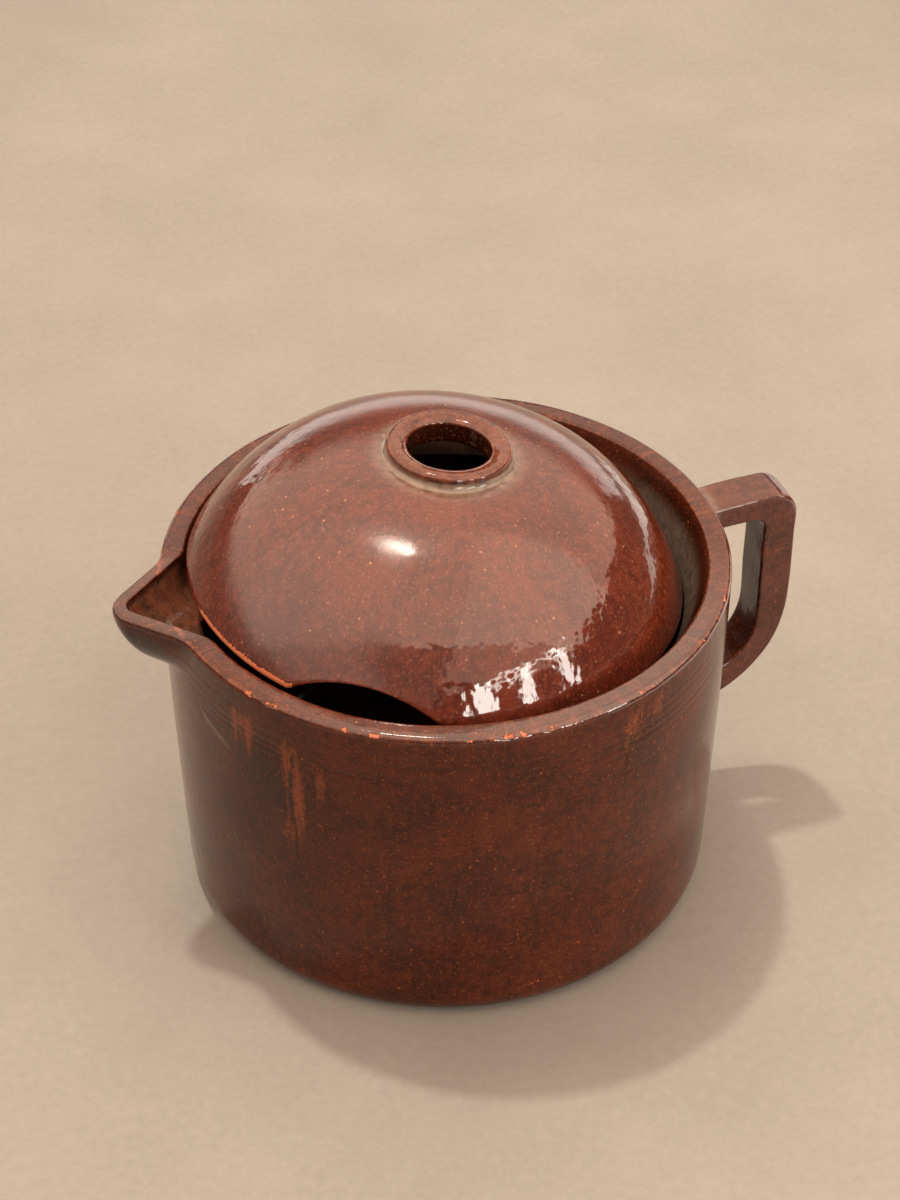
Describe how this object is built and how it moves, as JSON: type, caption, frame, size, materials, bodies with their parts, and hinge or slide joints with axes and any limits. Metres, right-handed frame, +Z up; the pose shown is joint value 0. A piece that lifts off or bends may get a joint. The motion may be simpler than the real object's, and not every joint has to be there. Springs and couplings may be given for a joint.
{
  "type": "earthenware milk boiler",
  "caption": "Brown-glazed earthenware milk boiler: a straight pot with a pouring spout and strap handle, and a loose domed lid with a collared hole and scalloped edge.",
  "frame": {"origin": "centre of the flat base, on the pot's axis", "axes": "+Z up along the pot's axis, -X towards the pouring spout, +X towards the handle"},
  "size_m": [0.2638, 0.21, 0.19],
  "materials": {
    "pot_glaze": "glossy brown lead glaze over red earthenware, thin and orange at the rim",
    "spout_glaze": "glossy brown lead glaze over red earthenware",
    "handle_glaze": "glossy brown lead glaze over red earthenware, worn at the edges",
    "lid_glaze": "glossy speckled red-brown lead glaze with brush marks",
    "collar_glaze": "glossy red-brown lead glaze, dusty at the foot of the ring"
  },
  "bodies": {
    "pot": {"pot_body": "pot_glaze", "pouring_spout": "spout_glaze", "strap_handle": "handle_glaze"},
    "lid": {"lid_dome": "lid_glaze", "lid_collar": "collar_glaze"}
  },
  "joints": [
    {"name": "lid_lift", "type": "slide", "parent": "pot", "child": "lid", "axis": [0, 0, 1], "range_m": [0, 0.08]}
  ]
}
